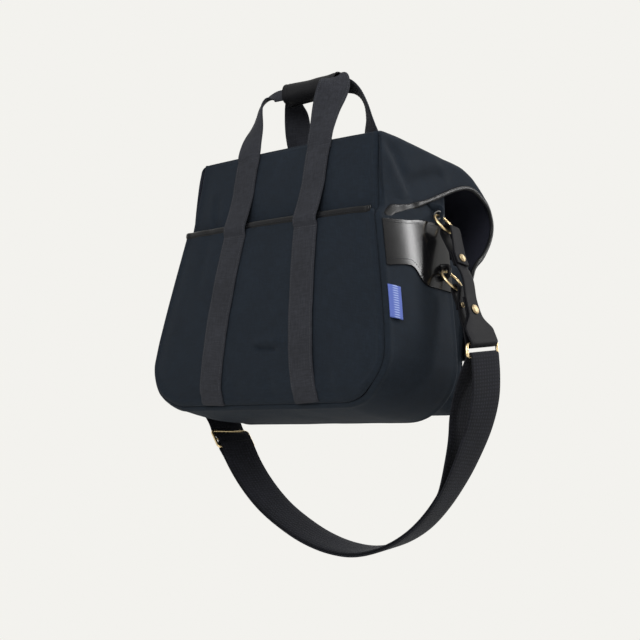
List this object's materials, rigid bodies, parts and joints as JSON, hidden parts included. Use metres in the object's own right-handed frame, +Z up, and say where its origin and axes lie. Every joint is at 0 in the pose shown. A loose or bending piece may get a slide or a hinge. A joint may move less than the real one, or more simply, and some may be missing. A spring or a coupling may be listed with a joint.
{
  "type": "messenger bag",
  "caption": "Canvas messenger bag with a hooded flap, rear slip pocket, webbing carry handles with a leather grip, brass side rings and a doubled webbing shoulder strap",
  "frame": {"origin": "middle of the carry grip, where a hand holds the bag", "axes": "+Z up; X along the bag's width, +X to the right seen from the front; the flap closes towards -Y and the rear pocket faces +Y"},
  "size_m": [0.5149, 0.2313, 0.5886],
  "materials": {
    "canvas": "matte twill",
    "handle_webbing": "ribbed cotton webbing",
    "strap_webbing": "ribbed cotton webbing",
    "bridle_leather": "semi-gloss bridle leather",
    "brass_hardware": "polished with a light patina",
    "lining_cloth": "smooth woven lining",
    "board": "matte",
    "label_cloth": "woven label"
  },
  "bodies": {
    "root": {"back_panel": "canvas", "front_panel": "canvas", "gusset_strip": "canvas", "back_pocket": "canvas", "back_pocket_binding": "bridle_leather", "lining": "lining_cloth", "base_board": "board", "front_pocket_panel": "canvas", "front_pocket_gusset": "canvas", "rear_webbing_left": "handle_webbing", "rear_webbing_right": "handle_webbing", "stud_post_left": "brass_hardware", "stud_post_right": "brass_hardware", "side_yoke_left": "bridle_leather", "side_yoke_right": "bridle_leather", "ring_tab_upper_left": "bridle_leather", "ring_tab_upper_right": "bridle_leather", "ring_tab_lower_left": "bridle_leather", "ring_tab_lower_right": "bridle_leather", "eyelet_left": "brass_hardware", "upper_tab_left": "bridle_leather", "upper_rivet_left": "brass_hardware", "chape_left": "bridle_leather", "chape_rivet_left": "brass_hardware", "lower_strap_left": "bridle_leather", "lower_rivet_left": "brass_hardware", "strap_loop_left": "brass_hardware", "eyelet_right": "brass_hardware", "upper_tab_right": "bridle_leather", "upper_rivet_right": "brass_hardware", "chape_right": "bridle_leather", "chape_rivet_right": "brass_hardware", "lower_strap_right": "bridle_leather", "lower_rivet_right": "brass_hardware", "strap_loop_right": "brass_hardware", "shoulder_strap": "strap_webbing", "strap_return": "strap_webbing", "strap_slider": "brass_hardware", "side_label": "label_cloth"},
    "flap": {"flap_panel": "canvas", "flap_ear_left": "canvas", "flap_ear_right": "canvas", "flap_binding_left": "bridle_leather", "flap_binding_right": "bridle_leather", "front_webbing_left": "handle_webbing", "front_webbing_right": "handle_webbing", "front_handle": "handle_webbing", "rear_handle": "handle_webbing", "grip_wrap": "bridle_leather", "closure_tab_left": "bridle_leather", "closure_tab_right": "bridle_leather", "stud_cap_left": "brass_hardware", "stud_cap_right": "brass_hardware"},
    "ring_upper_left": {"ring_upper_left": "brass_hardware"},
    "ring_upper_right": {"ring_upper_right": "brass_hardware"},
    "ring_lower_left": {"ring_lower_left": "brass_hardware"},
    "ring_lower_right": {"ring_lower_right": "brass_hardware"}
  },
  "joints": [
    {"name": "flap_hinge", "type": "hinge", "parent": "root", "child": "flap", "pos_m": [0, 0.0455, -0.09], "axis": [-1, 0, 0], "range_deg": [0, 130]},
    {"name": "ring_upper_left_spin", "type": "hinge", "parent": "root", "child": "ring_upper_left", "pos_m": [0.1788, -0.055, -0.1814], "axis": [-0.76, 0, -0.65], "continuous": true},
    {"name": "ring_upper_right_spin", "type": "hinge", "parent": "root", "child": "ring_upper_right", "pos_m": [-0.1788, -0.055, -0.1814], "axis": [-0.76, 0, 0.65], "continuous": true},
    {"name": "ring_lower_left_spin", "type": "hinge", "parent": "root", "child": "ring_lower_left", "pos_m": [0.1968, -0.055, -0.2519], "axis": [-0.76, 0, -0.65], "continuous": true},
    {"name": "ring_lower_right_spin", "type": "hinge", "parent": "root", "child": "ring_lower_right", "pos_m": [-0.1968, -0.055, -0.2519], "axis": [-0.76, 0, 0.65], "continuous": true}
  ]
}
